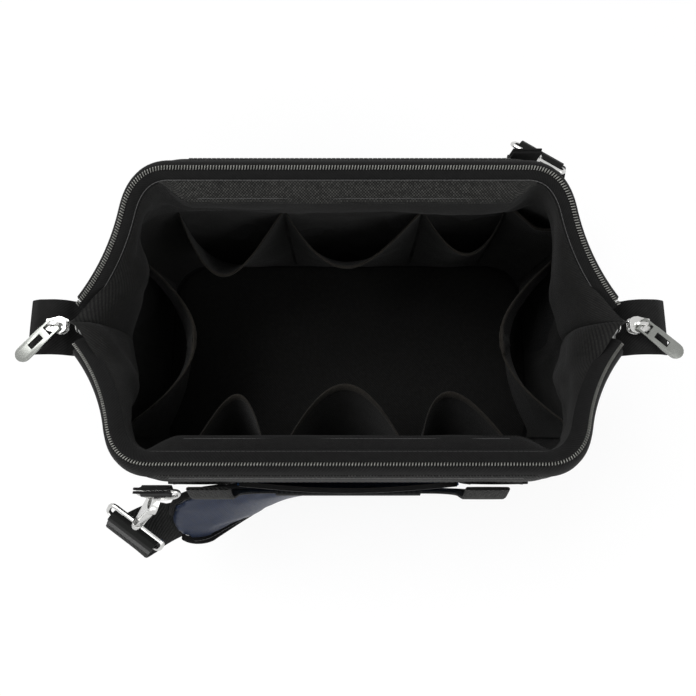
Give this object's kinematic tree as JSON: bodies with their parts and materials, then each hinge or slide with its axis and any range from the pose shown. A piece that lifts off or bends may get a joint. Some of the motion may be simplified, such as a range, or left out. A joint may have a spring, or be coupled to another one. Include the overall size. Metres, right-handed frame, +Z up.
{
  "type": "zippered tool bag",
  "caption": "Soft wide-mouth tool bag with a hinged steel mouth frame, zip, carrying handles, inner pockets and a padded shoulder strap.",
  "frame": {"origin": "middle of the underside, on the surface that the bag stands on", "axes": "+X along the mouth to the right, +Z up, -Y towards the front, where the shoulder strap is clipped at the left"},
  "size_m": [0.4607, 0.3329, 0.2244],
  "materials": {
    "shell": "coarse black woven cloth",
    "lining": "coated plain-weave lining",
    "blue_cloth": "coarse blue woven cloth",
    "webbing": "ribbed woven webbing",
    "zip_tape": "fine herringbone zip tape",
    "zip_coil": "moulded zip teeth",
    "strap_webbing": "strap webbing",
    "pad_cloth": "navy padded cloth with a black binding",
    "steel": "nickel-plated steel",
    "slider_metal": "dark plated zinc"
  },
  "bodies": {
    "bag": {"base_panel": "shell", "base_board": "lining", "front_panel": "shell", "back_panel": "shell", "right_end_panel": "shell", "left_end_panel": "shell", "front_outer_pocket": "blue_cloth", "back_outer_pocket": "blue_cloth", "front_left_load_strap": "webbing", "front_right_load_strap": "webbing", "back_left_load_strap": "webbing", "back_right_load_strap": "webbing", "right_end_pocket": "blue_cloth", "left_end_pocket": "blue_cloth", "front_left_pocket": "lining", "front_middle_pocket": "lining", "front_right_pocket": "lining", "back_left_pocket": "lining", "back_middle_pocket": "lining", "back_right_pocket": "lining", "back_corner_pocket": "lining", "right_inner_pocket": "lining", "left_inner_pocket": "lining", "right_frame_rivet": "steel", "left_frame_rivet": "steel", "right_zip_tab": "zip_tape", "left_zip_tab": "zip_tape", "shoulder_strap": "strap_webbing", "strap_pad": "pad_cloth", "strap_adjuster": "steel"},
    "front_frame": {"front_frame_rod": "steel", "front_frame_sleeve": "webbing", "front_zip_tape": "zip_tape", "front_zip_coil": "zip_coil", "front_rim_band": "webbing", "front_ring_tab": "webbing", "front_strap_loop": "steel", "front_strap_end": "strap_webbing"},
    "back_frame": {"back_frame_rod": "steel", "back_frame_sleeve": "webbing", "back_zip_tape": "zip_tape", "back_zip_coil": "zip_coil", "back_rim_band": "webbing", "back_ring_tab": "webbing", "back_strap_loop": "steel", "back_strap_end": "strap_webbing"},
    "front_carrying_handle": {"front_handle": "webbing", "front_grip": "webbing"},
    "back_carrying_handle": {"back_handle": "webbing", "back_grip": "webbing"},
    "front_clip_ring": {"front_d_ring": "steel"},
    "back_clip_ring": {"back_d_ring": "steel"},
    "front_snap_hook": {"front_hook": "steel"},
    "back_snap_hook": {"back_hook": "steel"},
    "front_hook_gate": {"front_gate": "steel"},
    "back_hook_gate": {"back_gate": "steel"},
    "right_zip_slider": {"right_slider": "slider_metal"},
    "left_zip_slider": {"left_slider": "slider_metal"},
    "right_zip_pull": {"right_pull": "slider_metal"},
    "left_zip_pull": {"left_pull": "slider_metal"}
  },
  "joints": [
    {"name": "front_frame_hinge", "type": "hinge", "parent": "bag", "child": "front_frame", "pos_m": [0, 0, 0.172], "axis": [-1, 0, 0], "range_deg": [0, 60]},
    {"name": "back_frame_hinge", "type": "hinge", "parent": "bag", "child": "back_frame", "pos_m": [0, 0, 0.172], "axis": [1, 0, 0], "range_deg": [0, 60]},
    {"name": "front_handle_hinge", "type": "hinge", "parent": "front_frame", "child": "front_carrying_handle", "pos_m": [0, -0.1094, 0.197], "axis": [-1, 0, 0], "range_deg": [0, 115]},
    {"name": "back_handle_hinge", "type": "hinge", "parent": "back_frame", "child": "back_carrying_handle", "pos_m": [0, 0.1094, 0.197], "axis": [1, 0, 0], "range_deg": [0, 115]},
    {"name": "front_ring_swing", "type": "hinge", "parent": "front_frame", "child": "front_clip_ring", "pos_m": [-0.11888, -0.11049, 0.20058], "axis": [1, 0, 0], "range_deg": [-3, 3]},
    {"name": "back_ring_swing", "type": "hinge", "parent": "back_frame", "child": "back_clip_ring", "pos_m": [0.11888, 0.11049, 0.20058], "axis": [-1, 0, 0], "range_deg": [-3, 3]},
    {"name": "front_hook_swivel", "type": "hinge", "parent": "front_frame", "child": "front_snap_hook", "pos_m": [-0.1263, -0.11764, 0.18259], "axis": [-0.5003, -0.4803, -0.7204], "range_deg": [-6, 6]},
    {"name": "back_hook_swivel", "type": "hinge", "parent": "back_frame", "child": "back_snap_hook", "pos_m": [0.1263, 0.11764, 0.18259], "axis": [0.5003, 0.4803, -0.7204], "range_deg": [-6, 6]},
    {"name": "front_gate_hinge", "type": "hinge", "parent": "front_snap_hook", "child": "front_hook_gate", "pos_m": [-0.12911, -0.11426, 0.17639], "axis": [0.859, -0.1706, -0.4828], "range_deg": [0, 12], "stiffness_Nm_per_rad": 0.05, "springref_deg": -17.19},
    {"name": "back_gate_hinge", "type": "hinge", "parent": "back_snap_hook", "child": "back_hook_gate", "pos_m": [0.12911, 0.11426, 0.17639], "axis": [-0.859, 0.1706, -0.4828], "range_deg": [0, 12], "stiffness_Nm_per_rad": 0.05, "springref_deg": -17.19},
    {"name": "right_slider_travel", "type": "slide", "parent": "bag", "child": "right_zip_slider", "axis": [-1, 0, 0], "range_m": [0, 0.0045]},
    {"name": "left_slider_travel", "type": "slide", "parent": "bag", "child": "left_zip_slider", "axis": [1, 0, 0], "range_m": [0, 0.0045]},
    {"name": "right_pull_hinge", "type": "hinge", "parent": "right_zip_slider", "child": "right_zip_pull", "pos_m": [0.203, 0, 0.1788], "axis": [-0.6293, -0.7771, 0], "range_deg": [0, 90]},
    {"name": "left_pull_hinge", "type": "hinge", "parent": "left_zip_slider", "child": "left_zip_pull", "pos_m": [-0.203, 0, 0.1788], "axis": [-0.7071, 0.7071, 0], "range_deg": [0, 90]}
  ]
}
